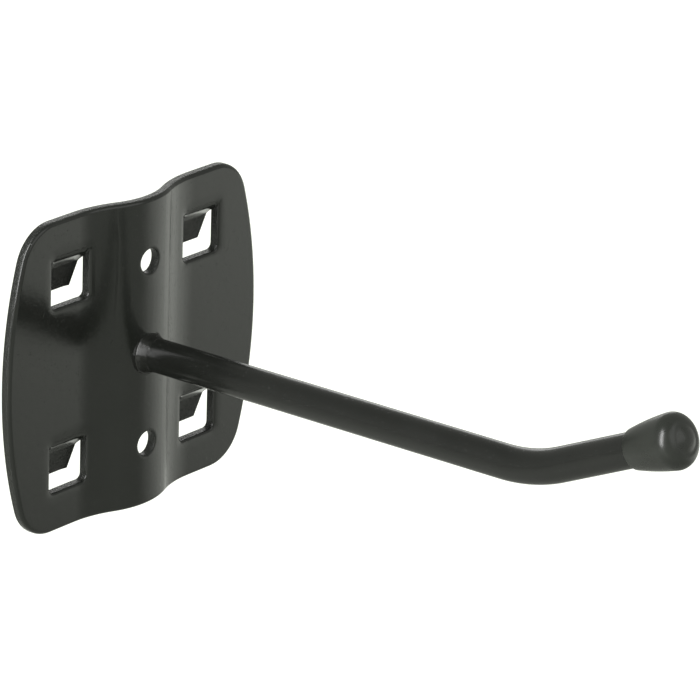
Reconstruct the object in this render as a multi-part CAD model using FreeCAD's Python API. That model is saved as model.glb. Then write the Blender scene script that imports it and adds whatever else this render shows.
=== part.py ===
import FreeCAD, Part
import math
import os

# A hook for square-hole panels: a stamped steel plate with four lanced tabs that hook into the
# panel, a round bar arm welded through the plate's raised ridge, and a push-on cap on its tip.
#
# Frame, in millimetres: +X to the right of a person who faces the wall, +Y into the wall, +Z up.
# The origin is the middle of the four tabs, on the plane where the plate rests on the panel.

# --- the panel that the plate hooks into ---
panel_pitch = 38.0             # from one row or column of holes to the next
panel_hole = 10.0              # side of the square holes

# --- base plate ---
plate_width = 72.5
plate_height = 63.9
sheet_thickness = 2.0
side_radius = 88.0             # the two upright sides are slightly bowed
corner_radius = 9.0
front_edge_radius = 0.7        # the punch rolls the front arris over
rear_edge_radius = 0.2

# --- raised ridge down the middle of the plate; radii of its front surface ---
ridge_height = 3.6
ridge_crest_radius = 18.2
ridge_root_radius = 22.3

# --- windows, and the tabs lanced out of them ---
window_relief = 0.5            # the window is this much wider than a panel hole
window_below_row = 4.8         # its bottom edge, under the middle of its tab's row
window_corner_radius = 1.2
window_edge_radius = 0.35      # soft rim on the front face
tab_root_above_row = 5.9       # where the tab leaves the sheet
tab_root_bend_radius = 0.3     # inner radius of the bend at the root
tab_second_bend_radius = 0.8   # inner radius of the bend at the panel's front
tab_neck_slope = 53.0          # degrees from upright, between the two bends
tab_tip_slope = 20.0           # degrees from upright, behind the panel
tab_tip_clearance = 2.1        # the tip is this much narrower than a panel hole
tab_entry_clearance = 1.3      # the tab behind the plate is this much lower than a panel hole

# --- screw holes in the ridge ---
screw_hole_diameter = 5.0
screw_hole_spacing = 38.0

# --- arm ---
rod_diameter = 6.8
arm_rise = 1.1                 # degrees, so that nothing slides off towards the tip
arm_straight = 100.0           # along the arm, from the rest plane to the corner of the bend
arm_bend_radius = 33.0         # of the centre line
arm_upturn = 23.7              # degrees
arm_tip_length = 35.2          # corner of the bend to the end of the rod
rod_end_chamfer = 0.5
rod_tail_setback = 1.0         # the rod's tail stops this far in front of the panel
rod_tail_proud = 0.9           # and stands this far out of the rear weld
rod_hole_clearance = 0.1       # radial

# --- welds ---
front_bead_proud = 0.75        # over the rod's surface
front_bead_length = 2.3        # along the rod, from the crest of the ridge
rear_bead_proud = 1.6

# --- end cap ---
cap_length = 12.0              # from the mouth to the rim of the end face
cap_dome = 0.6
cap_widest_wall = 2.0          # round the rod, where the cap is widest
cap_edge_radius = 2.8
cap_flank_bulge = 0.16
cap_mouth_wall = 0.55
cap_end_wall = 2.5             # from the bore's floor to the top of the dome
cap_bore_clearance = 0.03      # radial

# --- sizes that follow from these ---
ridge_radii = ridge_crest_radius + ridge_root_radius
ridge_flank = math.acos(1.0 - ridge_height / ridge_radii)   # steepest turn of the sheet
ridge_half_width = ridge_radii * math.sin(ridge_flank)
crest_y = -sheet_thickness - ridge_height                   # front of the ridge's centre line
window_width = panel_hole + window_relief
rod_radius = rod_diameter / 2
rear_bead_length = ridge_height - rod_tail_setback - rod_tail_proud
cap_radius = rod_radius + cap_widest_wall
tool_depth = 6 * (sheet_thickness + ridge_height)           # cutters reach right through the plate
square_turn = math.pi / 2


def vec(x, y, z):
    return FreeCAD.Vector(x, y, z)


def line(start, end):
    return Part.LineSegment(start, end).toShape()


def arc(start, middle, end):
    return Part.Arc(start, middle, end).toShape()


def extruded(edges, direction):
    return Part.Face(Part.Wire(Part.__sortEdges__(edges))).extrude(direction)


def cutter(edges):
    """A prism along Y, through the whole plate, from edges in the XZ plane."""
    prism = extruded(edges, vec(0, tool_depth, 0))
    prism.translate(vec(0, -tool_depth / 2, 0))
    return prism


def turned(edges):
    """A solid of revolution about Z from edges in the XZ plane."""
    return Part.Face(Part.Wire(edges)).revolve(vec(0, 0, 0), vec(0, 0, 1), 360)


def stand_on(shape, position, direction):
    """Turn a shape's own Z axis to a direction and move its origin to a position."""
    shape.Placement = FreeCAD.Placement(position, FreeCAD.Rotation(vec(0, 0, 1), direction))
    return shape


# ---------------------------------------------------------------- base plate

def ridge_line(depth):
    """The ridge's section in the XY plane, this deep below the sheet's front surface.

    A convex crest arc meets a concave root arc on each side, and the flanges carry on straight.
    """
    crest = ridge_crest_radius - depth
    root = ridge_root_radius + depth
    flange_y = depth - sheet_thickness
    crest_centre_y = flange_y - ridge_height + crest
    root_centre_y = flange_y - root

    def on_crest(angle):
        return vec(crest * math.sin(angle), crest_centre_y - crest * math.cos(angle), 0)

    def on_root(side, angle):
        x = side * (ridge_half_width - root * math.sin(angle))
        return vec(x, root_centre_y + root * math.cos(angle), 0)

    edges = [arc(on_crest(-ridge_flank), on_crest(0), on_crest(ridge_flank))]
    for side in (-1, 1):
        edges.append(arc(on_root(side, 0), on_root(side, ridge_flank / 2), on_root(side, ridge_flank)))
        edges.append(line(on_root(side, 0), vec(side * plate_width, flange_y, 0)))
    return edges


def ridged_sheet():
    """A sheet with the ridge in it, larger than the plate."""
    ends = [line(vec(side * plate_width, -sheet_thickness, 0), vec(side * plate_width, 0, 0))
            for side in (-1, 1)]
    sheet = extruded(ridge_line(0) + ridge_line(sheet_thickness) + ends, vec(0, 0, 2 * plate_height))
    sheet.translate(vec(0, 0, -plate_height))
    return sheet


def outline_prism():
    """The plate's outline: straight top and bottom, bowed sides, round corners."""
    side_centre_x = plate_width / 2 - side_radius
    corner_z = plate_height / 2 - corner_radius
    corner_x = side_centre_x + math.sqrt((side_radius - corner_radius) ** 2 - corner_z ** 2)
    meet = math.atan2(corner_z, corner_x - side_centre_x)   # where a side runs into a corner

    def on_side(side, angle):
        return vec(side * (side_centre_x + side_radius * math.cos(angle)), 0,
                   side_radius * math.sin(angle))

    def on_corner(side, end, angle):
        return vec(side * (corner_x + corner_radius * math.cos(angle)), 0,
                   end * (corner_z + corner_radius * math.sin(angle)))

    edges = []
    for side in (-1, 1):
        edges.append(arc(on_side(side, -meet), on_side(side, 0), on_side(side, meet)))
        for end in (-1, 1):
            edges.append(arc(on_corner(side, end, meet),
                             on_corner(side, end, (meet + square_turn) / 2),
                             on_corner(side, end, square_turn)))
    for end in (-1, 1):
        edges.append(line(on_corner(-1, end, square_turn), on_corner(1, end, square_turn)))
    return cutter(edges)


def sheet_rise(x):
    """How far the sheet's front surface stands in front of the flanges at x."""
    x = abs(x)
    if x < ridge_crest_radius * math.sin(ridge_flank):
        return ridge_height - ridge_crest_radius + math.sqrt(ridge_crest_radius ** 2 - x ** 2)
    if x < ridge_half_width:
        return ridge_root_radius - math.sqrt(ridge_root_radius ** 2 - (ridge_half_width - x) ** 2)
    return 0.0


def rim_edges(plate, cut, front):
    """The edges that a cutter left in the sheet's front surface, or else in its rear surface."""
    found = []
    for edge in plate.Edges:
        half_way = (edge.FirstParameter + edge.LastParameter) / 2
        middle = edge.valueAt(half_way)
        on_cut = cut.isInside(middle, 1e-4, True) and not cut.isInside(middle, 1e-4, False)
        across_sheet = abs(edge.tangentAt(half_way).y) > 0.99
        in_front_half = middle.y + sheet_rise(middle.x) < -sheet_thickness / 2
        if on_cut and not across_sheet and in_front_half == front:
            found.append(edge)
    return found


def row_centres():
    half = panel_pitch / 2
    return [(x, z) for z in (half, -half) for x in (-half, half)]


def window_cutter(x, z):
    """One window: square at the top, where the tab is rooted, and round in its bottom corners."""
    half = window_width / 2
    low = -window_below_row
    r = window_corner_radius
    edges = [line(vec(-half, 0, tab_root_above_row), vec(half, 0, tab_root_above_row)),
             line(vec(-half + r, 0, low), vec(half - r, 0, low))]
    for side in (-1, 1):
        upright = vec(side * half, 0, low + r)
        level = vec(side * (half - r), 0, low)
        middle = vec(side * (half - r + r * math.sin(square_turn / 2)), 0,
                     low + r - r * math.cos(square_turn / 2))
        edges.append(line(vec(side * half, 0, tab_root_above_row), upright))
        edges.append(arc(upright, middle, level))
    window = cutter(edges)
    window.translate(vec(x, 0, z))
    return window


def hook_tab(x, z):
    """One tab: a strip of the sheet that turns back into the panel hole, then down behind it."""
    neck = math.radians(tab_neck_slope)
    tip = math.radians(tab_tip_slope)
    root_z = tab_root_above_row

    def along(point, slope, length):
        return point + vec(0, length * math.sin(slope), -length * math.cos(slope))

    def across(point, slope, length):
        return point + vec(0, length * math.cos(slope), length * math.sin(slope))

    root_inner = tab_root_bend_radius
    root_outer = root_inner + sheet_thickness
    root_centre = vec(0, root_inner, root_z)

    def root_bend(radius, slope):
        return across(root_centre, slope, -radius)

    # the neck's front reaches the rest plane, where the second bend starts
    neck_start = root_bend(root_outer, neck)
    neck_front = along(neck_start, neck, -neck_start.y / math.sin(neck))
    neck_rear = across(neck_front, neck, sheet_thickness)
    second_inner = tab_second_bend_radius
    second_outer = second_inner + sheet_thickness
    second_centre = across(neck_front, neck, -second_inner)

    def second_bend(radius, slope):
        return across(second_centre, slope, radius)

    top_z = root_bend(root_inner, neck).z
    bend_end = second_bend(second_inner, tip)
    reach = (bend_end.z - top_z + panel_hole - tab_entry_clearance) / math.cos(tip)
    tip_front = along(bend_end, tip, reach)
    tip_rear = across(tip_front, tip, sheet_thickness)
    between = (neck + tip) / 2
    edges = [
        line(root_bend(root_inner, 0), root_bend(root_outer, 0)),
        arc(root_bend(root_outer, 0), root_bend(root_outer, neck / 2), neck_start),
        line(neck_start, neck_front),
        arc(neck_front, second_bend(second_inner, between), bend_end),
        line(bend_end, tip_front),
        line(tip_front, tip_rear),
        line(tip_rear, second_bend(second_outer, tip)),
        arc(second_bend(second_outer, tip), second_bend(second_outer, between), neck_rear),
        line(neck_rear, root_bend(root_inner, neck)),
        arc(root_bend(root_inner, neck), root_bend(root_inner, neck / 2), root_bend(root_inner, 0)),
    ]
    strip = extruded(edges, vec(window_width, 0, 0))
    strip.translate(vec(-window_width / 2, 0, 0))

    # the strip narrows evenly from the window's width at its root to the tip
    wide = window_width / 2
    narrow = (panel_hole - tab_tip_clearance) / 2
    wedge = cutter([
        line(vec(-wide, 0, root_z), vec(wide, 0, root_z)),
        line(vec(wide, 0, root_z), vec(narrow, 0, tip_front.z)),
        line(vec(narrow, 0, tip_front.z), vec(-narrow, 0, tip_front.z)),
        line(vec(-narrow, 0, tip_front.z), vec(-wide, 0, root_z)),
    ])
    tab = strip.common(wedge)
    tab.translate(vec(x, 0, z))
    return tab


def base_plate():
    outline = outline_prism()
    plate = ridged_sheet().common(outline)
    plate = plate.makeFillet(front_edge_radius, rim_edges(plate, outline, True))
    plate = plate.makeFillet(rear_edge_radius, rim_edges(plate, outline, False))
    for end in (-1, 1):
        start = vec(0, -tool_depth / 2, end * screw_hole_spacing / 2)
        plate = plate.cut(Part.makeCylinder(screw_hole_diameter / 2, tool_depth, start, vec(0, 1, 0)))
    start = arm_axis_point(-tool_depth / 2)
    hole_radius = rod_radius + rod_hole_clearance
    plate = plate.cut(Part.makeCylinder(hole_radius, tool_depth, start, arm_direction()))
    for x, z in row_centres():
        window = window_cutter(x, z)
        plate = plate.cut(window)
        root = z + tab_root_above_row
        sides_and_bottom = [edge for edge in rim_edges(plate, window, True)
                            if edge.CenterOfMass.z < root - window_edge_radius]
        plate = plate.makeFillet(window_edge_radius, sides_and_bottom)
    return plate.multiFuse([hook_tab(x, z) for x, z in row_centres()]).removeSplitter()


# ---------------------------------------------------------------- arm

def arm_direction(turned_up=0.0):
    angle = math.radians(arm_rise + turned_up)
    return vec(0, -math.cos(angle), math.sin(angle))


def arm_axis_point(distance):
    """A point on the straight part's axis, this far from the rest plane, along the arm.

    The axis crosses the front of the ridge at the plate's centre.
    """
    rise = math.radians(arm_rise)
    return vec(0, 0, crest_y * math.tan(rise)) + arm_direction() * distance


def arm_path():
    """The arm's centre line: its tail, the two ends and the middle of its bend, and its tip."""
    half_turn = math.radians(arm_upturn) / 2
    corner = arm_axis_point(arm_straight)
    before = arm_direction()
    after = arm_direction(arm_upturn)
    run = arm_bend_radius * math.tan(half_turn)
    inward = (after - before).normalize()
    middle = corner + inward * (arm_bend_radius / math.cos(half_turn) - arm_bend_radius)
    return {
        "tail": arm_axis_point(rod_tail_setback),
        "bend_start": corner - before * run,
        "bend_middle": middle,
        "bend_end": corner + after * run,
        "tip": corner + after * arm_tip_length,
    }


def arm_rod():
    path = arm_path()
    centre_line = Part.Wire([
        line(path["tail"], path["bend_start"]),
        arc(path["bend_start"], path["bend_middle"], path["bend_end"]),
        line(path["bend_end"], path["tip"]),
    ])
    section = Part.Wire([Part.makeCircle(rod_radius, path["tail"], arm_direction())])
    rod = centre_line.makePipeShell([section], True, False)
    end_rims = [edge for edge in rod.Edges if edge.isClosed() and any(
        edge.CenterOfMass.distanceToPoint(path[end]) < rod_end_chamfer for end in ("tail", "tip"))]
    return rod.makeChamfer(rod_end_chamfer, end_rims)


# ---------------------------------------------------------------- welds

def weld_ring(proud, length):
    """A ring round the rod, with a rounded crown at its top end, that starts at Z = 0."""
    outer = rod_radius + proud
    shoulder = length - proud
    diagonal = proud * math.sin(square_turn / 2)
    return turned([
        line(vec(rod_radius, 0, 0), vec(outer, 0, 0)),
        line(vec(outer, 0, 0), vec(outer, 0, shoulder)),
        arc(vec(outer, 0, shoulder), vec(rod_radius + diagonal, 0, shoulder + diagonal),
            vec(rod_radius, 0, length)),
        line(vec(rod_radius, 0, length), vec(rod_radius, 0, 0)),
    ])


def weld_bead(plate, proud, length, direction):
    """Weld metal that stands on one face of the ridge, and stays out of the rod's clearance hole."""
    half_sheet = sheet_thickness / 2
    inside_sheet = arm_axis_point(-crest_y - half_sheet)
    ring = stand_on(weld_ring(proud, half_sheet + length), inside_sheet, direction)
    plug_start = arm_axis_point(-crest_y - sheet_thickness)
    plug = Part.makeCylinder(rod_radius + rod_hole_clearance, sheet_thickness, plug_start, arm_direction())
    return max(ring.cut(plate).cut(plug).Solids, key=lambda solid: solid.Volume)


# ---------------------------------------------------------------- end cap

def end_cap():
    """A soft cap that widens to a rounded end, pushed on until the rod meets the bore's floor."""
    bore = rod_radius + cap_bore_clearance
    mouth = bore + cap_mouth_wall
    edge_r = cap_radius - cap_edge_radius
    edge_z = cap_length - cap_edge_radius
    # the flank leaves the mouth and meets the rounded edge where the two are tangent
    slant = math.hypot(edge_z, edge_r - mouth)
    lean = math.atan2(edge_r - mouth, edge_z) + math.asin(cap_edge_radius / slant)
    flank_end = vec(edge_r + cap_edge_radius * math.cos(lean), 0, edge_z - cap_edge_radius * math.sin(lean))
    flank_middle = (vec(mouth, 0, 0) + flank_end) * 0.5 + vec(cap_flank_bulge, 0, 0)
    half_turn = (square_turn - lean) / 2
    edge_middle = vec(edge_r + cap_edge_radius * math.cos(half_turn), 0,
                      edge_z + cap_edge_radius * math.sin(half_turn))
    dome_radius = (edge_r ** 2 + cap_dome ** 2) / (2 * cap_dome)
    top = cap_length + cap_dome
    dome_middle = vec(edge_r / 2, 0, top - dome_radius + math.sqrt(dome_radius ** 2 - edge_r ** 2 / 4))
    floor = top - cap_end_wall
    cap = turned([
        line(vec(bore, 0, 0), vec(mouth, 0, 0)),
        arc(vec(mouth, 0, 0), flank_middle, flank_end),
        arc(flank_end, edge_middle, vec(edge_r, 0, cap_length)),
        arc(vec(edge_r, 0, cap_length), dome_middle, vec(0, 0, top)),
        line(vec(0, 0, top), vec(0, 0, floor)),
        line(vec(0, 0, floor), vec(bore, 0, floor)),
        line(vec(bore, 0, floor), vec(bore, 0, 0)),
    ])
    along = arm_direction(arm_upturn)
    return stand_on(cap, arm_path()["tip"] - along * floor, along)


plate = base_plate()
nodes = {
    "base_plate": plate,
    "arm_rod": arm_rod(),
    "front_weld_bead": weld_bead(plate, front_bead_proud, front_bead_length, arm_direction()),
    "rear_weld_bead": weld_bead(plate, rear_bead_proud, rear_bead_length, arm_direction() * -1),
    "end_cap": end_cap(),
}
os.makedirs("parts", exist_ok=True)
for name, shape in nodes.items():
    solid = shape.Solids[0]
    print(f"{name}: {len(shape.Solids)} solid, valid {solid.isValid()}, {solid.Volume:.1f} mm3")
    solid.exportStep(os.path.join("parts", name + ".step"))
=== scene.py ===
# %% [markdown]
# # A panel hook, finished in Blender
# The hook is a stamped steel plate with four tabs that drop into a square-hole panel, a round
# bar that is welded through the plate's raised ridge, and a soft cap pushed on the bar's tip.
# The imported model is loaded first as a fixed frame. Every piece below is made in millimetres,
# as a workshop drawing would give it, and is scaled to metres when it is finished.

# %% The frame
from math import acos, asin, atan2, cos, degrees, hypot, pi, radians, sin, sqrt, tan

import bmesh
import bpy
from mathutils import Matrix, Vector, noise


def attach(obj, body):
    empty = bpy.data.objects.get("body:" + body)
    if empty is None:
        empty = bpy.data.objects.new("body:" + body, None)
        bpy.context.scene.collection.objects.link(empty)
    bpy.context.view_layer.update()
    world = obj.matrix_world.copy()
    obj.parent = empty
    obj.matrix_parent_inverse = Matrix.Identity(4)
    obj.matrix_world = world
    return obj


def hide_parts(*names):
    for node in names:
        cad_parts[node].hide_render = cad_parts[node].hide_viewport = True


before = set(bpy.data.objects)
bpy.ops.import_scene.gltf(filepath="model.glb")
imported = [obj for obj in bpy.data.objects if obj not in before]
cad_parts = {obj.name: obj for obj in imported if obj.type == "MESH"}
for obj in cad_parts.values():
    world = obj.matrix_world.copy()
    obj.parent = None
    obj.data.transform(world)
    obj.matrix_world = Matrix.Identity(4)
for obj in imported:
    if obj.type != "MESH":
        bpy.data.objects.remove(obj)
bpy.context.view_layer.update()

scene = bpy.context.scene
print("nodes:", sorted(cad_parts))

# %% [markdown]
# ## Sizes
# A few driving sizes describe the whole hook, and everything else is worked out from them. The
# origin is the middle of the four tabs on the plane where the plate rests on its panel. X runs
# to the right, Y into the wall and Z up, so the arm points along minus Y.

# %% Driving sizes in millimetres
MM = 0.001
panel_pitch = 38.0
plate_width = 72.5
plate_height = 63.9
sheet = 2.0
side_radius = 88.0          # the upright sides are slightly bowed
corner_radius = 9.0
ridge_height = 3.6
crest_radius = 18.2         # front surface of the ridge: its crest, and the roots beside it
root_radius = 22.3
ridge_turn = acos(1 - ridge_height / (crest_radius + root_radius))
ridge_half_width = (crest_radius + root_radius) * sin(ridge_turn)
front = -sheet              # the sheet's front face, before the ridge is pressed
rows = (panel_pitch / 2, -panel_pitch / 2)
print(f"ridge: {2 * ridge_half_width:.1f} mm wide, flanks at {degrees(ridge_turn):.1f} degrees")

# %% [markdown]
# ## Small helpers
# A bmesh is Blender's mesh for modelling in code, and its operators do what the tools of Edit
# Mode do. They return mixed lists of vertices, edges and faces, and take them the same way.
# These helpers sort such lists and find parts of a mesh by where they are.

# %% Helpers that pick parts of a mesh
def verts_in(parts):
    return [part for part in parts if isinstance(part, bmesh.types.BMVert)]


def edges_in(parts):
    return [part for part in parts if isinstance(part, bmesh.types.BMEdge)]


def faces_in(parts):
    return [part for part in parts if isinstance(part, bmesh.types.BMFace)]


def corners_of(faces):
    return list({vert for face in faces for vert in face.verts})


def everything(bm):
    return bm.verts[:] + bm.edges[:] + bm.faces[:]


def face_at(bm, place):
    return min(bm.faces, key=lambda face: (face.calc_center_median() - place).length)


# %% [markdown]
# Sheet metal and bar are made by pulling, bending, cutting and breaking edges, and each of these
# has its operator. Extrude and spin sometimes leave the face they started from inside the shape,
# where it would spoil the shading, so both helpers look for it and take it out.

# %% Helpers that pull, bend, cut and roll
on_plane = 1e-4             # a vertex this near to a cutting plane lies on it


def clear_inside(bm, faces):
    """Take out faces that an extrusion left inside the shape."""
    if any(len(edge.link_faces) > 2 for face in faces for edge in face.edges):
        bmesh.ops.delete(bm, geom=faces, context="FACES")


def pull_out(bm, faces, reach):
    """Extrude faces straight out, and hand back the new ones."""
    new = faces_in(bmesh.ops.extrude_face_region(bm, geom=faces)["geom"])
    clear_inside(bm, faces)
    bmesh.ops.translate(bm, vec=reach, verts=corners_of(new))
    return new


def bend_round(bm, faces, centre, axis, angle, steps):
    """Extrude faces round a centre, and hand back the new ones."""
    swept = bmesh.ops.spin(bm, geom=faces, cent=centre, axis=axis, angle=angle, steps=steps)
    clear_inside(bm, faces)
    return faces_in(swept["geom_last"])


def cut_across(bm, axis, places):
    """Cut the whole mesh where an axis (0 for X, 2 for Z) has each of these values."""
    normal = Vector()
    normal[axis] = 1.0
    for place in places:
        bmesh.ops.bisect_plane(bm, geom=everything(bm), dist=on_plane, plane_co=normal * place,
                               plane_no=normal)


def roll_edges(bm, edges, width, segments):
    """Round edges off. The operator's defaults differ from the editor's, so all are given."""
    bmesh.ops.bevel(bm, geom=edges, affect="EDGES", offset=width, segments=segments, profile=0.5,
                    material=-1, clamp_overlap=False)


# %% [markdown]
# A finished piece is closed, its normals point outwards, and its object stays at the origin.
# Smooth shading alone would make the flats look swollen near their rims. Weighted normals lean
# on the large faces instead, so the flats stay flat and only the rolled rims catch the light.

# %% Finishing a piece
crease = radians(50)        # edges sharper than this stay sharp in the shading


def finish_piece(bm, name, node, material):
    """Turn a bmesh into a piece that rides on the hook and stands for a node of the frame."""
    bmesh.ops.recalc_face_normals(bm, faces=bm.faces[:])
    bmesh.ops.scale(bm, vec=(MM, MM, MM), verts=bm.verts[:])
    mesh = bpy.data.meshes.new(name)
    open_edges = sum(not edge.is_manifold for edge in bm.edges)
    bm.to_mesh(mesh)
    bm.free()
    mesh.materials.append(material)
    mesh.shade_smooth()
    mesh.set_sharp_from_angle(angle=crease)
    piece = bpy.data.objects.new(name, mesh)
    scene.collection.objects.link(piece)
    weighted = piece.modifiers.new("weighted normals", "WEIGHTED_NORMAL")
    weighted.keep_sharp = True
    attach(piece, "root")
    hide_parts(node)
    print(f"{name}: {len(mesh.polygons)} faces, {open_edges} open edges")


# %% [markdown]
# ## Materials
# A material is a small network of nodes, and the same few nodes come back in each one. Noise is
# read on Object coordinates, which are metres here, so the size of a feature on the real hook
# turns straight into a noise scale. What is the same everywhere is set on the shader itself.

# %% Node helpers
resin_ior = 1.5             # powder, paint and soft plastic all bend light alike
noise_low = 0.3             # most of a noise lies between these two values
noise_high = 0.7


def new_material(name, specular):
    material = bpy.data.materials.new(name)
    material.use_nodes = True
    shader = material.node_tree.nodes["Principled BSDF"]
    shader.inputs["IOR"].default_value = resin_ior
    shader.inputs["Specular IOR Level"].default_value = specular
    return material, shader


def add_node(material, kind, **settings):
    node = material.node_tree.nodes.new(kind)
    for setting, value in settings.items():
        setattr(node, setting, value)
    return node


def noise_of_size(material, size, detail=2.0, roughness=0.5):
    """Noise whose features are about this many millimetres across."""
    coordinates = add_node(material, "ShaderNodeTexCoord")
    texture = add_node(material, "ShaderNodeTexNoise")
    texture.inputs["Scale"].default_value = 1 / (size * MM)
    texture.inputs["Detail"].default_value = detail
    texture.inputs["Roughness"].default_value = roughness
    material.node_tree.links.new(coordinates.outputs["Object"], texture.inputs["Vector"])
    return texture.outputs["Fac"]


def ranged(material, value, low, high, from_low=noise_low, from_high=noise_high):
    """Stretch a value that runs between two limits over another range."""
    node = add_node(material, "ShaderNodeMapRange")
    node.inputs["From Min"].default_value = from_low
    node.inputs["From Max"].default_value = from_high
    node.inputs["To Min"].default_value = low
    node.inputs["To Max"].default_value = high
    material.node_tree.links.new(value, node.inputs["Value"])
    return node.outputs["Result"]


# %% [markdown]
# Values from several noises are joined by mixing or by arithmetic, and a Bump node turns a height
# into a tilt of the light. The heights are added up first, because one Bump node for their sum
# gives a cleaner result than a chain of them.

# %% Node helpers that join values
def blend_colours(material, share, first, second):
    node = add_node(material, "ShaderNodeMix", data_type="RGBA")
    node.inputs["A"].default_value = (*first, 1)
    node.inputs["B"].default_value = (*second, 1)
    material.node_tree.links.new(share, node.inputs["Factor"])
    return node.outputs["Result"]


def combine(material, operation, first, *others):
    """Run one arithmetic operation along a list of values."""
    for other in others:
        node = add_node(material, "ShaderNodeMath", operation=operation)
        material.node_tree.links.new(first, node.inputs[0])
        material.node_tree.links.new(other, node.inputs[1])
        first = node.outputs["Value"]
    return first


def raise_surface(material, shader, *heights):
    """Bump the surface by the sum of heights given in millimetres."""
    node = add_node(material, "ShaderNodeBump")
    node.inputs["Distance"].default_value = MM
    material.node_tree.links.new(combine(material, "ADD", *heights), node.inputs["Height"])
    material.node_tree.links.new(node.outputs["Normal"], shader.inputs["Normal"])


# %% [markdown]
# ## Powder coat
# The steel is coated in a dark, half-gloss powder. Powder melts into a film with a very fine
# orange peel, its gloss drifts a little from place to place, and the odd grain, called a nib,
# stands proud of the film. A flat colour with one roughness would look like a drawing, so the
# tone, the gloss and the bump each follow their own noise.

# %% Powder coat
drift_size = 11             # slow change of tone and gloss
peel_size = 1.2             # dimples of the orange peel
nib_size = 0.45
nib_height = 0.03
nib_limits = (0.70, 0.78)   # only the highest peaks of the noise are nibs


def powder_coat(name, dark, light, gloss, peel, more_heights=()):
    """Half-gloss powder: two near tones, a roughness range, and the depth of its orange peel."""
    material, shader = new_material(name, specular=0.5)
    drift = noise_of_size(material, drift_size, detail=4)
    film = ranged(material, noise_of_size(material, peel_size, detail=1), 0, peel)
    nibs = ranged(material, noise_of_size(material, nib_size, detail=1), 0, nib_height, *nib_limits)
    tone = blend_colours(material, ranged(material, drift, 0, 1), dark, light)
    links = material.node_tree.links
    links.new(tone, shader.inputs["Base Color"])
    links.new(ranged(material, drift, *gloss), shader.inputs["Roughness"])
    extra = [make(material) for make in more_heights]
    raise_surface(material, shader, film, nibs, *extra)
    print(f"{name}: {len(material.node_tree.nodes)} nodes")
    return material


rod_coat = powder_coat("rod_coat", dark=(0.0075, 0.0082, 0.0070), light=(0.0095, 0.0102, 0.0088),
                       gloss=(0.20, 0.26), peel=0.004)

# %% [markdown]
# The plate's coat also shows how the plate was made. Two faint lines run down it where the edge
# of the press tool touched the sheet, and its punched walls are torn and grainy. The walls are
# marked with a face attribute when the rims are rolled, so the noise can be kept to them. Powder
# hardly reaches the tabs behind the windows, so they get a weaker share of the same grain. The
# lines could be cut into the mesh, but they are so shallow that a bump shows them as well.

# %% Lines of the press tool
press_line_x = 7.7          # from the middle of the plate
press_line_depth = 0.022
press_line_inside = 0.35    # widths of its two slopes, towards the ridge's middle and away from it
press_line_outside = 0.5
press_line_wander = 0.6     # how far a line strays sideways as it runs down
press_line_faint = 0.4      # the share of its depth that is left where it fades
wander_size = 24
fading_size = 18            # over this distance a line fades and comes back
fading_limits = (0.4, 0.6)


def press_lines(material):
    coordinates = add_node(material, "ShaderNodeTexCoord")
    split = add_node(material, "ShaderNodeSeparateXYZ")
    side = add_node(material, "ShaderNodeMath", operation="ABSOLUTE")
    links = material.node_tree.links
    links.new(coordinates.outputs["Object"], split.inputs["Vector"])
    links.new(split.outputs["X"], side.inputs[0])
    wander = ranged(material, noise_of_size(material, wander_size, detail=2),
                    -press_line_wander * MM, press_line_wander * MM)
    away = combine(material, "ADD", side.outputs["Value"], wander)
    inner = ranged(material, away, 0, 1, (press_line_x - press_line_inside) * MM, press_line_x * MM)
    outer = ranged(material, away, 1, 0, press_line_x * MM, (press_line_x + press_line_outside) * MM)
    strength = ranged(material, noise_of_size(material, fading_size, detail=2),
                      -press_line_faint * press_line_depth, -press_line_depth, *fading_limits)
    return combine(material, "MULTIPLY", inner, outer, strength)


# %% Torn walls, and the coat of the plate
tear_size = 0.5
tear_depth = 0.10
tear_roughness = 0.65       # how strong the finest grain of the tear is


def torn_walls(material):
    attribute = add_node(material, "ShaderNodeAttribute", attribute_name="sheared")
    grain = noise_of_size(material, tear_size, detail=4, roughness=tear_roughness)
    tear = ranged(material, grain, 0, tear_depth)
    return combine(material, "MULTIPLY", attribute.outputs["Fac"], tear)


plate_coat = powder_coat("plate_coat", dark=(0.0085, 0.0098, 0.0080), light=(0.0110, 0.0123, 0.0103),
                         gloss=(0.17, 0.22), peel=0.005, more_heights=(press_lines, torn_walls))

# %% [markdown]
# Two more finishes need only one noise for their tone and gloss. Powder wets a weld poorly, so
# there the film is a little rougher, and it follows the ripples of the bead underneath. The cap
# is moulded in soft plastic with a satin skin: its tone is lighter, its gloss is broader,
# handling leaves faint cloudy patches, and its grain is far finer than the powder's.

# %% Coat over the welds, and cap plastic
crust_size = 0.9            # lumps of the film on a weld
crust_height = 0.005
cloud_size = 4.5            # cloudy patches on the cap
skin_size = 0.35            # grain of the cap's mould
skin_height = 0.003


def clouded(name, cloud, dark, light, gloss):
    """A material whose tone and roughness follow one noise, given as its size and detail."""
    material, shader = new_material(name, specular=0.5)
    patches = noise_of_size(material, cloud[0], detail=cloud[1])
    tone = blend_colours(material, ranged(material, patches, 0, 1), dark, light)
    links = material.node_tree.links
    links.new(tone, shader.inputs["Base Color"])
    links.new(ranged(material, patches, *gloss), shader.inputs["Roughness"])
    return material, shader, patches


weld_coat, shader, crust = clouded("weld_coat", (crust_size, 3), dark=(0.0070, 0.0076, 0.0064),
                                   light=(0.0100, 0.0106, 0.0092), gloss=(0.20, 0.28))
raise_surface(weld_coat, shader, ranged(weld_coat, crust, 0, crust_height))

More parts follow.
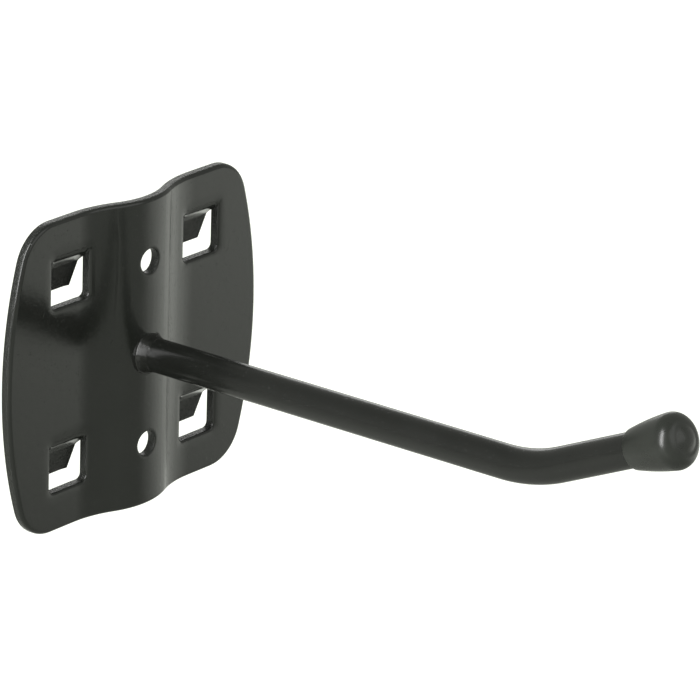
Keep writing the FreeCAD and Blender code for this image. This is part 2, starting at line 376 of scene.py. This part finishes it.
cap_plastic, shader, cloud = clouded("cap_plastic", (cloud_size, 3), dark=(0.0165, 0.0185, 0.0155),
                                     light=(0.0210, 0.0230, 0.0195), gloss=(0.26, 0.32))
skin = noise_of_size(cap_plastic, skin_size, detail=2)
raise_surface(cap_plastic, shader, ranged(cap_plastic, skin, 0, skin_height))
print("finishes:", rod_coat.name, plate_coat.name, weld_coat.name, cap_plastic.name)

# %% [markdown]
# ## The plate's blank
# The blank is punched from sheet: straight top and bottom, bowed sides and round corners. A
# bevelled rectangle would give round corners but flat sides. Here one vertex is swung about each
# centre in turn and draws the outline, the way a pair of compasses would.

# %% Draw the blank
corner_steps = 12
side_steps = 28
one_place = 0.01            # vertices nearer to each other than this are made one


def swing(bm, vert, centre_x, centre_z, angle, steps):
    """Swing a vertex clockwise round a centre, and hand back the vertex where it stops."""
    swept = bmesh.ops.spin(bm, geom=[vert], cent=(centre_x, front, centre_z), axis=(0, -1, 0),
                           angle=-angle, steps=steps)
    return verts_in(swept["geom_last"])[0]


side_centre_x = plate_width / 2 - side_radius
corner_z = plate_height / 2 - corner_radius
corner_x = side_centre_x + sqrt((side_radius - corner_radius) ** 2 - corner_z ** 2)
side_turn = atan2(corner_z, corner_x - side_centre_x)

plate = bmesh.new()
pen = plate.verts.new((corner_x, front, plate_height / 2))
for side in (1, -1):
    pen = swing(plate, pen, side * corner_x, side * corner_z, pi / 2 - side_turn, corner_steps)
    pen = swing(plate, pen, side * side_centre_x, 0, 2 * side_turn, side_steps)
    pen = swing(plate, pen, side * corner_x, -side * corner_z, pi / 2 - side_turn, corner_steps)
    pen = bmesh.ops.extrude_vert_indiv(plate, verts=[pen])["verts"][0]
    pen.co.x -= 2 * side * corner_x
bmesh.ops.remove_doubles(plate, verts=plate.verts[:], dist=one_place)
bmesh.ops.contextual_create(plate, geom=plate.edges[:])
print(f"blank: {plate.faces[0].calc_area():.0f} mm2, {len(plate.verts)} vertices")

# %% [markdown]
# ## Windows
# Each tab is lanced out of the sheet and leaves a window with round corners. A boolean could
# punch it, but it leaves long thin faces that shade badly. So the blank is cut into cells, and
# every window has a cell of its own. A rounded pane is drawn in the cell, its rim is grown into
# a flat apron, the apron is bridged to the cell, and the pane is taken out. The apron gives the
# sheet a ring to sink into where the punch drew it in.

# %% Cut the cells
window_width = 10.5
window_above = 5.9          # over the middle of the tab's row: where the tab is rooted
window_below = 4.8
window_corner = 1.2
window_height = window_above + window_below
window_middle = (window_above - window_below) / 2
apron = 1.2
cell_margin = 2 * apron
hole_cell = 5.0             # half the width of the cells down the middle of the plate

cell_rise = window_height / 2 + cell_margin
cell_reach = window_width / 2 + cell_margin
cut_across(plate, 2, [row + window_middle + way * cell_rise for row in rows for way in (-1, 1)])
for side in (-1, 1):
    cut_across(plate, 0, [side * (panel_pitch / 2 + way * cell_reach) for way in (-1, 1)])
cut_across(plate, 0, [-hole_cell, hole_cell])
print(f"the blank has {len(plate.faces)} cells")

# %% Open the windows
upright = Matrix.Rotation(pi / 2, 4, "X")       # turns a flat grid to face the front
cell_pieces = 6             # each side of a window's cell is divided for the bridge
window_corner_steps = 5


def divide_sides(bm, face, pieces):
    """Cut each whole side of a cell into equal pieces. A side that is cut already stays."""
    whole = [edge for edge in face.edges if edge.calc_length() > 2 * cell_margin]
    bmesh.ops.bisect_edges(bm, edges=whole, cuts=pieces - 1)


def open_window(bm, x, z):
    middle = Vector((x, front, z + window_middle))
    cell = face_at(bm, middle)
    divide_sides(bm, cell, cell_pieces)
    opening = list(cell.edges)
    bmesh.ops.delete(bm, geom=[cell], context="FACES_ONLY")

    stretch = Matrix.Diagonal((window_width / 2, window_height / 2, 1, 1))
    corners = bmesh.ops.create_grid(bm, x_segments=1, y_segments=1, size=1,
                                    matrix=Matrix.Translation(middle) @ upright @ stretch)["verts"]
    bmesh.ops.bevel(bm, geom=corners, affect="VERTICES", offset=window_corner,
                    segments=window_corner_steps, profile=0.5, material=-1)
    pane = face_at(bm, middle)
    grown = bmesh.ops.extrude_edge_only(bm, edges=list(pane.edges))["geom"]
    rim = verts_in(grown)
    wider = 1 + 2 * apron / window_width
    taller = 1 + 2 * apron / window_height
    bmesh.ops.scale(bm, vec=(wider, 1, taller), verts=rim, space=Matrix.Translation(-middle))
    outer = [edge for edge in edges_in(grown) if all(vert in rim for vert in edge.verts)]
    bmesh.ops.bridge_loops(bm, edges=outer + opening)
    bmesh.ops.delete(bm, geom=[pane], context="FACES_ONLY")


window_places = [(side * panel_pitch / 2, row) for row in rows for side in (-1, 1)]
for x, z in window_places:
    open_window(plate, x, z)
print(f"with its windows: {sum(face.calc_area() for face in plate.faces):.0f} mm2")

# %% [markdown]
# ## Round holes
# Two screw holes and the bar's hole go through the middle column of cells. A cell's face is
# inset, the inner ring is set out evenly on a circle, and a second inset gives the rim. Insets
# keep four-sided faces all round the hole, and those roll and shade evenly.

# %% Open the round holes
screw_hole_radius = 2.5
rod_hole_radius = 3.5
hole_apron = 0.8
hole_pieces = 8             # each side of a hole's cell is divided for a round ring


def open_round_hole(bm, z, radius):
    centre = Vector((0, front, z))
    face = face_at(bm, centre)
    divide_sides(bm, face, hole_pieces)
    bmesh.ops.inset_region(bm, faces=[face], thickness=hole_apron / 2)
    ring = [loop.vert for loop in face.loops]
    first = max(range(len(ring)), key=lambda place: ring[place].co.x + ring[place].co.z)
    step = 2 * pi / len(ring)
    if face.normal.y > 0:
        step = -step
    for place, vert in enumerate(ring[first:] + ring[:first]):
        angle = pi / 4 + step * place
        vert.co = centre + (radius + hole_apron) * Vector((cos(angle), 0, sin(angle)))
    bmesh.ops.inset_region(bm, faces=[face], thickness=hole_apron)
    bmesh.ops.delete(bm, geom=[face], context="FACES_ONLY")


for row in rows:
    open_round_hole(plate, row, screw_hole_radius)
open_round_hole(plate, 0, rod_hole_radius)
bmesh.ops.recalc_face_normals(plate, faces=plate.faces[:])
print(f"with its holes: {sum(face.calc_area() for face in plate.faces):.0f} mm2")

# %% [markdown]
# ## Thickness and rims
# A punch pulls the sheet down a little round a window before it shears it, so the window's rim
# sinks first. Then the flat mesh is extruded to the sheet's thickness. A Solidify modifier would
# do that too, but its walls exist only after it is applied, and the tabs need a wall to start on.

# %% Thicken the sheet
draw_in = 0.12
reach_of_rim = 0.05         # a vertex this near to a window counts as its rim


def over_window(place, spread):
    """Whether a place lies on a window, or within a small distance of one."""
    return any(abs(place.x - x) < window_width / 2 + spread
               and abs(place.z - z - window_middle) < window_height / 2 + spread
               for x, z in window_places)


for vert in plate.verts:
    if vert.is_boundary and over_window(vert.co, reach_of_rim):
        vert.co.y += draw_in
if plate.faces[0].normal.y > 0:
    bmesh.ops.reverse_faces(plate, faces=plate.faces[:])
back = bmesh.ops.extrude_face_region(plate, geom=plate.faces[:], use_keep_orig=True)["geom"]
for vert in verts_in(back):
    vert.co.y = 0
bmesh.ops.recalc_face_normals(plate, faces=plate.faces[:])
print(f"sheet: {plate.calc_volume():.0f} mm3")

# %% [markdown]
# The punch side of every rim is rolled over, widest on the outline, and the back keeps a crisp
# edge. A Bevel modifier would roll every sharp edge alike, so the edges are picked here by where
# they lie, and each kind gets its own width. The walls between the rims are marked as sheared.

# %% Roll the rims
outline_roll = 0.85
window_roll = 0.5
hole_roll = 0.35
rear_roll = 0.2
square = radians(60)        # an edge that turns more than this is still square
wall_lean = 0.3             # a face that looks less than this to the front or back is a wall
outline_band = 1.0          # the outline lies outside a circle this far within the plate's top
hole_band = 0.1             # an edge this near to a screw hole is part of its rim


def sharp_edges(bm, on_front, where):
    """The square edges of the front or the back face that lie where a test says."""
    found = []
    for edge in bm.edges:
        middle = (edge.verts[0].co + edge.verts[1].co) / 2
        right_side = all((vert.co.y < front / 2) == on_front for vert in edge.verts)
        if right_side and edge.calc_face_angle() > square and where(middle):
            found.append(edge)
    return found


def on_outline(place):
    return not over_window(place, apron) and hypot(place.x, place.z) > plate_height / 2 - outline_band


def on_window_sides(place):
    """A window's sides and bottom, up to its root corners."""
    return any(abs(place.x - x) < window_width / 2 + reach_of_rim
               and -window_below - reach_of_rim < place.z - z < window_above - window_corner
               for x, z in window_places)


def on_screw_hole(place):
    return any(hypot(place.x, place.z - row) < screw_hole_radius + hole_band for row in rows)


roll_edges(plate, sharp_edges(plate, True, on_outline), outline_roll, segments=4)
roll_edges(plate, sharp_edges(plate, False, on_outline), rear_roll, segments=2)
roll_edges(plate, sharp_edges(plate, True, on_window_sides), window_roll, segments=4)
roll_edges(plate, sharp_edges(plate, True, on_screw_hole), hole_roll, segments=3)
roll_edges(plate, sharp_edges(plate, False, on_screw_hole), rear_roll, segments=2)
sheared = plate.faces.layers.float.new("sheared")
for face in plate.faces:
    face[sheared] = 1.0 if abs(face.normal.y) < wall_lean else 0.0
print(f"rims: {len(plate.faces)} faces")

# %% [markdown]
# ## The ridge
# The press raises a smooth ridge down the middle of the plate. Its section is a crest arc that
# meets a root arc on each side, and the back face is the same line one sheet further in. The
# mesh is cut into narrow upright strips, and each vertex is moved forward by that section. It
# comes after the holes, as a die would press a punched blank, so the holes follow the ridge.

# %% Press the ridge
strips = 24                 # on each side of the middle


def ridge_rise(x, depth):
    """How far the sheet stands forward at x, for a depth of 1 at its front and 0 at its back."""
    crest = crest_radius - (1 - depth) * sheet
    root = root_radius + (1 - depth) * sheet
    x = abs(x)
    if x < crest * sin(ridge_turn):
        return ridge_height - crest + sqrt(crest ** 2 - x ** 2)
    if x < ridge_half_width:
        return root - sqrt(root ** 2 - (ridge_half_width - x) ** 2)
    return 0.0


cut_across(plate, 0, [ridge_half_width * place / strips for place in range(-strips, strips + 1)])
for vert in plate.verts:
    depth = -vert.co.y / sheet
    vert.co.y -= depth * ridge_rise(vert.co.x, 1) + (1 - depth) * ridge_rise(vert.co.x, 0)
print(f"plate: front of the ridge at {min(vert.co.y for vert in plate.verts):.2f} mm")

# %% [markdown]
# ## The tabs
# A tab starts as the top wall of its window. Spinning that wall about the bend's centre turns
# the sheet backwards, an extrusion makes the neck, a second spin turns it down again behind the
# panel, and the last extrusion is the tip, which narrows so that it finds its hole. A separate
# strip laid against the plate would show a seam, and here plate and tab stay one mesh.

# %% Bend the tabs
neck_slope = radians(46)
tip_slope = radians(16)
neck_depth = 0.45           # how far behind the rest plane the neck ends
root_bend = 0.3             # inner radii of the two bends
second_bend = 0.8
root_bend_steps = 6
second_bend_steps = 5
tip_width = 7.9
tab_height = 8.7            # from the top of the neck to the end of the tip


def bend_tab(bm, x, z):
    """Bend one tab out of the top wall of its window, and hand back its vertices."""
    root_z = z + window_above
    old = set(bm.verts)

    def is_root(face):
        middle = face.calc_center_median()
        beside = abs(middle.x - x) < window_width / 2
        above = root_z - window_corner < middle.z < root_z + reach_of_rim
        return beside and above and abs(face.normal.y) < 0.5 and face.normal.z < -0.05

    root = [face for face in bm.faces if is_root(face)]
    centre = Vector((x, root_bend, root_z))
    end = bend_round(bm, root, centre, (1, 0, 0), neck_slope, root_bend_steps)

    # the neck: its front face ends a little behind the rest plane
    along = Vector((0, sin(neck_slope), -cos(neck_slope)))
    across = Vector((0, cos(neck_slope), sin(neck_slope)))
    neck_start = centre - across * (root_bend + sheet)
    neck_end = neck_start + along * ((neck_depth - neck_start.y) / sin(neck_slope))
    end = pull_out(bm, end, Vector())
    for vert in corners_of(end):
        vert.co += along * (neck_end - vert.co).dot(along)

    # the second bend, about a centre in front of the neck
    centre = neck_end - across * second_bend
    end = bend_round(bm, end, centre, (1, 0, 0), tip_slope - neck_slope, second_bend_steps)
    along = Vector((0, sin(tip_slope), -cos(tip_slope)))
    top = root_z - root_bend * sin(neck_slope)
    bend_end = centre + Vector((0, cos(tip_slope), sin(tip_slope))) * second_bend
    reach = (bend_end.z - top + tab_height) / cos(tip_slope)
    pull_out(bm, end, along * reach)

    # the whole tab narrows evenly from its root to its tip
    new = [vert for vert in bm.verts if vert not in old]
    low = min(vert.co.z for vert in new)
    for vert in new:
        down = (root_z - vert.co.z) / (root_z - low)
        vert.co.x = x + (vert.co.x - x) * (1 - down * (1 - tip_width / window_width))
    return new


tab_verts = [bend_tab(plate, x, z) for x, z in window_places]
for verts in tab_verts:
    print(f"tab: reaches {max(vert.co.y for vert in verts):.2f} mm behind the rest plane")

# %% [markdown]
# The new faces took over the mark of the wall that they grew from. The necks lose it, because
# powder reaches them from the front, and behind the panel they keep a part of it. The tabs' long
# edges are the sides of a punched strip, so they are broken only a little.

# %% Finish the plate
tab_edge_roll = 0.2
tab_edge = radians(70)      # an edge of a tab that turns more than this is one of its sides
tab_grain = 0.35            # how grainy the coat is behind the windows, where a torn wall is 1
bent = {vert for verts in tab_verts for vert in verts}
tab_edges = [edge for edge in plate.edges
             if all(vert in bent for vert in edge.verts) and edge.calc_face_angle() > tab_edge]
for face in plate.faces:
    if all(vert in bent for vert in face.verts):
        behind = all(vert.co.y > neck_depth for vert in face.verts)
        face[sheared] = tab_grain if behind else 0.0
roll_edges(plate, tab_edges, tab_edge_roll, segments=2)
print(f"plate: {plate.calc_volume():.0f} mm3")
finish_piece(plate, "plate_body", "base_plate", plate_coat)

# %% [markdown]
# ## The arm
# The arm is one bar, bent once. A disc of the bar's section is extruded along the straight
# part, spun about the centre of the bend, and extruded again to the tip, and a bevel breaks the
# sharp rims of its two cut ends. A curve with a round bevel would be shorter to write, but the
# spin keeps the section round all the way, as a bending tool with a grooved roll does.

# %% Where the bar runs
rod_radius = 3.4
arm_rise = radians(1.1)
arm_straight = 100.0        # along the arm, from the rest plane to the corner of the bend
bend_radius = 33.0
upturn = radians(23.7)
tip_length = 35.2           # from the corner of the bend to the end of the bar
tail_setback = 1.0
crest_y = front - ridge_height


def arm_direction(turned_up=0.0):
    return Vector((0, -cos(arm_rise + turned_up), sin(arm_rise + turned_up)))


def arm_point(distance):
    """A point on the axis of the straight part. The axis meets the crest at the plate's centre."""
    return Vector((0, 0, crest_y * tan(arm_rise))) + arm_direction() * distance


def standing_on(place, direction):
    """The matrix that takes a shape's Z axis to a direction and its origin to a place."""
    return Matrix.Translation(place) @ direction.to_track_quat("Z", "Y").to_matrix().to_4x4()


tail = arm_point(tail_setback)
corner = arm_point(arm_straight)
bend_run = bend_radius * tan(upturn / 2)
bend_start = corner - arm_direction() * bend_run
to_centre = Vector((0, sin(arm_rise), cos(arm_rise)))
bend_centre = bend_start + to_centre * bend_radius
tip = corner + arm_direction(upturn) * tip_length
print(f"arm: bends at y {corner.y:.1f}, ends at y {tip.y:.1f}, z {tip.z:.1f} mm")

# %% Draw the bar
round_segments = 64         # round the bar
straight_steps = 24
bend_steps = 28
cut_end_roll = 0.5

arm = bmesh.new()
bmesh.ops.create_circle(arm, cap_ends=True, segments=round_segments, radius=rod_radius,
                        matrix=standing_on(tail, arm_direction()))
end_face = arm.faces[:]
for step in range(straight_steps):
    end_face = pull_out(arm, end_face, (bend_start - tail) / straight_steps)
end_face = bend_round(arm, end_face, bend_centre, (-1, 0, 0), upturn, bend_steps)
pull_out(arm, end_face, tip - corner - arm_direction(upturn) * bend_run)

end_rims = [edge for edge in arm.edges if edge.calc_face_angle(0) > square]
roll_edges(arm, end_rims, cut_end_roll, segments=2)
print(f"arm: {arm.calc_volume():.0f} mm3")
finish_piece(arm, "arm_bar", "arm_rod", rod_coat)

# %% [markdown]
# ## Turned shapes
# The weld beads and the cap are round about the bar. Each is made as a lathe would make it: half
# of its section is drawn with lines and arcs, and is spun once round the Z axis. A profile that
# is drawn this way can be read like a drawing, and its wall thickness is plain to see.

# %% Helpers that draw and turn a section
turned_segments = 96
seam_gap = 0.005            # the two ends of a turn meet within this distance


def line_to(bm, vert, end):
    new = bmesh.ops.extrude_vert_indiv(bm, verts=[vert])["verts"][0]
    new.co = end
    return new


def bow_to(bm, vert, end, bulge, steps):
    """Draw an arc in the XZ plane from a vertex to an end, bulging to the left of its chord."""
    chord = end - vert.co
    half = chord.length / 2
    radius = (half ** 2 + bulge ** 2) / (2 * bulge)
    left = Vector((-chord.z, 0, chord.x)).normalized()
    centre = (vert.co + end) / 2 - left * (radius - bulge)
    swept = bmesh.ops.spin(bm, geom=[vert], cent=centre, axis=(0, 1, 0),
                           angle=2 * asin(half / radius), steps=steps)
    return verts_in(swept["geom_last"])[0]


def turn_profile(bm, steps):
    """Spin everything in a mesh once round the Z axis and close the seam."""
    bmesh.ops.spin(bm, geom=everything(bm), cent=(0, 0, 0), axis=(0, 0, 1), angle=2 * pi,
                   steps=steps, use_merge=True)
    bmesh.ops.remove_doubles(bm, verts=bm.verts[:], dist=seam_gap)
    bmesh.ops.recalc_face_normals(bm, faces=bm.faces[:])


# %% [markdown]
# ## The welds
# A weld bead is a ring of metal that froze as it ran round the bar. After its section is turned,
# noise pushes the surface about, so the ring has the small lumps and the uneven edge that a hand
# weld leaves under the coat. The front one is small and neat, and the rear one is a lumpy
# fillet that nobody sees in use. Both sink into the plate and the bar, as fused metal does.

# %% Section of a weld bead
fused_into_bar = 0.1        # how far a bead sinks into the bar
fused_into_plate = 1.0
toe = 0.35                  # the thin edge that lies on the plate
toe_rise = 0.15
toe_bulge = 0.15
shoulder_bulge = 0.05
edge_of_bead = 0.02         # how thick the bead still is where it ends on the bar
tucked_in = 0.05            # how far the bead's inner corner lies past that end, inside the bar


def bead_section(bead, proud, length):
    """Half the section: along its root in the plate, up its face, and back inside the bar."""
    inner = rod_radius - fused_into_bar
    edge = rod_radius + proud
    start = Vector((inner, 0, -fused_into_plate))
    pen = bead.verts.new(start)
    pen = line_to(bead, pen, Vector((edge + toe, 0, -fused_into_plate)))
    pen = line_to(bead, pen, Vector((edge + toe, 0, 0)))
    pen = bow_to(bead, pen, Vector((edge, 0, toe_rise)), toe_bulge, steps=4)
    pen = bow_to(bead, pen, Vector((rod_radius + edge_of_bead, 0, length)), shoulder_bulge, steps=10)
    pen = line_to(bead, pen, Vector((inner, 0, length + tucked_in)))
    line_to(bead, pen, start)


# %% Lumps of a weld bead
broad_waves = 0.5           # how fast each noise changes, in waves per millimetre
small_waves = 1.7
edge_waves = 0.8
small_share = 0.5           # how strong the small lumps are beside the broad ones
edge_unevenness = 0.2


def make_lumpy(bead, lumps, seed):
    """Push the surface in and out by noise, and make the bead's far edge uneven."""
    for vert in bead.verts:
        spoke = Vector((vert.co.x, vert.co.y, 0))
        out = max(spoke.length - rod_radius, 0)
        broad = noise.noise(vert.co * broad_waves + Vector((seed, 0, 0)))
        small = noise.noise(vert.co * small_waves + Vector((0, seed, 0)))
        vert.co += spoke.normalized() * out * lumps * (broad + small_share * small)
        ragged = noise.noise(spoke * edge_waves + Vector((0, 0, seed)))
        vert.co.z += max(vert.co.z, 0) * edge_unevenness * ragged


# %% Lay the weld beads
def weld_bead(name, node, place, direction, proud, length, lumps, seed):
    """A bead that stands this proud of the bar, and reaches this far along it."""
    bead = bmesh.new()
    bead_section(bead, proud, length)
    turn_profile(bead, turned_segments)
    make_lumpy(bead, lumps, seed)
    bmesh.ops.transform(bead, matrix=standing_on(place, direction), verts=bead.verts[:])
    finish_piece(bead, name, node, weld_coat)


weld_bead("front_bead", "front_weld_bead", arm_point(-crest_y), arm_direction(),
          proud=0.55, length=2.3, lumps=0.15, seed=3.0)
weld_bead("rear_bead", "rear_weld_bead", arm_point(-crest_y - sheet), -arm_direction(),
          proud=1.6, length=1.7, lumps=0.5, seed=9.0)

# %% [markdown]
# ## The cap
# The cap is moulded in soft plastic. Half its section is drawn from the middle of its domed end
# to its mouth and back up the bore, and is spun about its axis. The mouth has a thin lip with a
# small round, so that a fine dark line shows where it meets the bar. A scaled cylinder with a
# bevel would have no bore and no lip, and that line would be missing.

# %% Sizes of the cap
cap_length = 12.0           # from the mouth to the rim of the end face
cap_dome = 0.6
cap_flare = 2.0             # how far its widest ring stands out from the bar
cap_round = 2.8             # between the flank and the end face
cap_bulge = 0.16
bore_gap = 0.03
mouth_wall = 0.55
cap_end_wall = 2.5
lip_round = 0.2
quarter_bulge = 0.29        # how far a quarter round of radius 1 bulges from its chord

cap_radius = rod_radius + cap_flare
cap_bore = rod_radius + bore_gap
cap_mouth = cap_bore + mouth_wall
top = cap_length + cap_dome
floor_z = top - cap_end_wall
rim_radius = cap_radius - cap_round
rim_z = cap_length - cap_round
slant = hypot(rim_z, rim_radius - cap_mouth)
lean = atan2(rim_radius - cap_mouth, rim_z) + asin(cap_round / slant)
flank_end = Vector((rim_radius + cap_round * cos(lean), 0, rim_z - cap_round * sin(lean)))
round_bulge = cap_round * (1 - cos((pi / 2 + lean) / 2))
dome_radius = (rim_radius ** 2 + cap_dome ** 2) / (2 * cap_dome)
dome_bulge = dome_radius * (1 - cos(asin(rim_radius / dome_radius) / 2))
print(f"cap: the flank leans out by {degrees(atan2(flank_end.x - cap_mouth, flank_end.z)):.1f} degrees")

# %% Turn the cap
cap = bmesh.new()
pen = cap.verts.new((0, 0, floor_z))
pen = line_to(cap, pen, Vector((cap_bore, 0, floor_z)))
pen = line_to(cap, pen, Vector((cap_bore, 0, lip_round)))
pen = bow_to(cap, pen, Vector((cap_bore + lip_round, 0, 0)), -lip_round * quarter_bulge, steps=4)
pen = line_to(cap, pen, Vector((cap_mouth - lip_round, 0, 0)))
pen = bow_to(cap, pen, Vector((cap_mouth, 0, lip_round)), -lip_round * quarter_bulge, steps=4)
pen = bow_to(cap, pen, flank_end, -cap_bulge, steps=16)
pen = bow_to(cap, pen, Vector((rim_radius, 0, cap_length)), -round_bulge, steps=12)
pen = bow_to(cap, pen, Vector((0, 0, top)), -dome_bulge, steps=8)
turn_profile(cap, turned_segments)
print(f"cap: {cap.calc_volume():.0f} mm3, {2 * max(vert.co.x for vert in cap.verts):.2f} mm wide")
along = arm_direction(upturn)
bmesh.ops.transform(cap, matrix=standing_on(tip - along * floor_z, along), verts=cap.verts[:])
finish_piece(cap, "tip_cap", "end_cap", cap_plastic)

# %% [markdown]
# ## Floor
# A dark, glossy thing is lit by what it mirrors. The plate leans towards no lamp: it mirrors the
# floor in front of it, and its punched walls mirror the floor behind. So the floor is a pale grey
# sheet with painted light: its emission paints soft pools of light behind the hook and to its right
# and left, and a painted glow that rises again far away to meet the sky without a dark line between
# them.

# %% Lay the floor
floor_radius = 6.0          # the floor and the lights are in metres
floor_level = -0.30
floor_mesh = bmesh.new()
bmesh.ops.create_circle(floor_mesh, cap_ends=True, segments=96, radius=floor_radius,
                        matrix=Matrix.Translation((0, 0, floor_level)))
floor_sheet = bpy.data.meshes.new("floor")
floor_mesh.to_mesh(floor_sheet)
floor_mesh.free()
floor = bpy.data.objects.new("floor", floor_sheet)
scene.collection.objects.link(floor)
print(f"floor: {2 * floor_radius:.0f} m across, {-floor_level:.2f} m below the hook")

# %% Paint the floor
floor_colour = (0.42, 0.43, 0.40, 1)
painted_glow_colour = (0.975, 1.0, 0.93, 1)
sky_colour = (0.98, 1.0, 0.93, 1)
floor_paint, shader = new_material("floor_paint", specular=0.2)
shader.inputs["Base Color"].default_value = floor_colour
shader.inputs["Roughness"].default_value = 0.9
shader.inputs["Emission Color"].default_value = painted_glow_colour


def distance_from(material, x, y):
    """How far a point of the floor is from a place on it, in metres."""
    coordinates = add_node(material, "ShaderNodeTexCoord")
    mapping = add_node(material, "ShaderNodeMapping")
    mapping.inputs["Location"].default_value = (-x, -y, -floor_level)
    length = add_node(material, "ShaderNodeVectorMath", operation="LENGTH")
    material.node_tree.links.new(coordinates.outputs["Object"], mapping.inputs["Vector"])
    material.node_tree.links.new(mapping.outputs["Vector"], length.inputs[0])
    return length.outputs["Value"]


def pool(x, y, inside, outside, near, far):
    """A painted pool of light round a place: one emission strength up to a near distance, another past
    a far one.
    """
    return ranged(floor_paint, distance_from(floor_paint, x, y), inside, outside, near, far)


# Painted light: the floor's emission paints pools of light behind the hook and to its right and left,
# and a glow that rises far away; no lamp makes them.
back_pool = pool(0.64, 0.53, inside=0.95, outside=0, near=0.46, far=0.62)
front_pool = pool(1.3, -0.4, inside=1.0, outside=0.04, near=0.55, far=0.95)
far_painted_glow = pool(0, 0, inside=0, outside=0.30, near=0.40, far=1.2)
left_pool = pool(-0.20, 0.28, inside=0.26, outside=0, near=0.10, far=0.42)
painted_floor_glow = combine(floor_paint, "MAXIMUM", back_pool, front_pool, left_pool, far_painted_glow)
floor_paint.node_tree.links.new(painted_floor_glow, shader.inputs["Emission Strength"])
floor_sheet.materials.append(floor_paint)
print(f"floor_paint: {len(floor_paint.node_tree.nodes)} nodes")

# %% [markdown]
# ## Light
# The sky is dimmer overhead than at the horizon, which keeps the top of the bar dark. A tall soft
# box on the left draws the bright crescent on the cap and the streak beside the collar. A wide
# weak one in front fills the cap's face, and a low one behind edges the bar with light. Point
# lamps would give hard dots on the half-gloss coat, where large boxes give soft streaks.

# %% Sky
horizon_glow = 0.55
overhead_glow = 0.36
sky_heights = (0.05, 0.8)   # it dims between these heights, where 1 is straight up
world = bpy.data.worlds.new("studio")
scene.world = world
world.use_nodes = True
background = world.node_tree.nodes["Background"]
background.inputs["Color"].default_value = sky_colour
sky = add_node(world, "ShaderNodeTexCoord")
split = add_node(world, "ShaderNodeSeparateXYZ")
world.node_tree.links.new(sky.outputs["Generated"], split.inputs["Vector"])
sky_glow = ranged(world, split.outputs["Z"], horizon_glow, overhead_glow, *sky_heights)
world.node_tree.links.new(sky_glow, background.inputs["Strength"])
print(f"sky: {horizon_glow} at the horizon, {overhead_glow} overhead")


# %% Soft boxes
def soft_box(name, azimuth, elevation, distance, width, height, radiance):
    """A soft box that faces the hook, seen from it at an azimuth (0 in front, 90 to its right)
    and an elevation, and shining with a given radiance."""
    turn = radians(azimuth)
    rise = radians(elevation)
    towards = Vector((sin(turn) * cos(rise), -cos(turn) * cos(rise), sin(rise)))
    light = bpy.data.lights.new(name, "AREA")
    light.shape = "RECTANGLE"
    light.size = width
    light.size_y = height
    light.energy = radiance * pi * width * height
    holder = bpy.data.objects.new(name, light)
    holder.location = towards * distance
    holder.rotation_euler = (-towards).to_track_quat("-Z", "Y").to_euler()
    scene.collection.objects.link(holder)
    print(f"{name}: {light.energy:.1f} W")


soft_box("left_box", azimuth=-81, elevation=30, distance=1.2, width=0.42, height=1.25, radiance=12.0)
soft_box("front_box", azimuth=10, elevation=32, distance=1.5, width=1.2, height=0.9, radiance=0.8)
soft_box("back_box", azimuth=130, elevation=13, distance=1.6, width=0.8, height=0.45, radiance=1.6)

# %% [markdown]
# ## Camera
# The camera stands in front of the hook, to its left and above it, and looks at it through a long
# lens, which keeps the plate's upright edges almost parallel. The Standard view transform shows
# the dark coat as dark as it is, where Blender's usual one would lift it and make it grey.

# %% Camera
camera_data = bpy.data.cameras.new("camera")
camera_data.sensor_width = 36.0
camera_data.lens = 266.66
camera_data.clip_start = 0.01
camera_data.clip_end = 50
camera = bpy.data.objects.new("camera", camera_data)
camera.location = (-0.71366, -0.62689, 0.35907)
camera.rotation_euler = (1.20947, -0.031328, -0.884002)
scene.collection.objects.link(camera)
scene.camera = camera
scene.view_settings.view_transform = "Standard"
print(f"camera: {camera.location.length:.2f} m away, {camera_data.lens:.0f} mm lens")
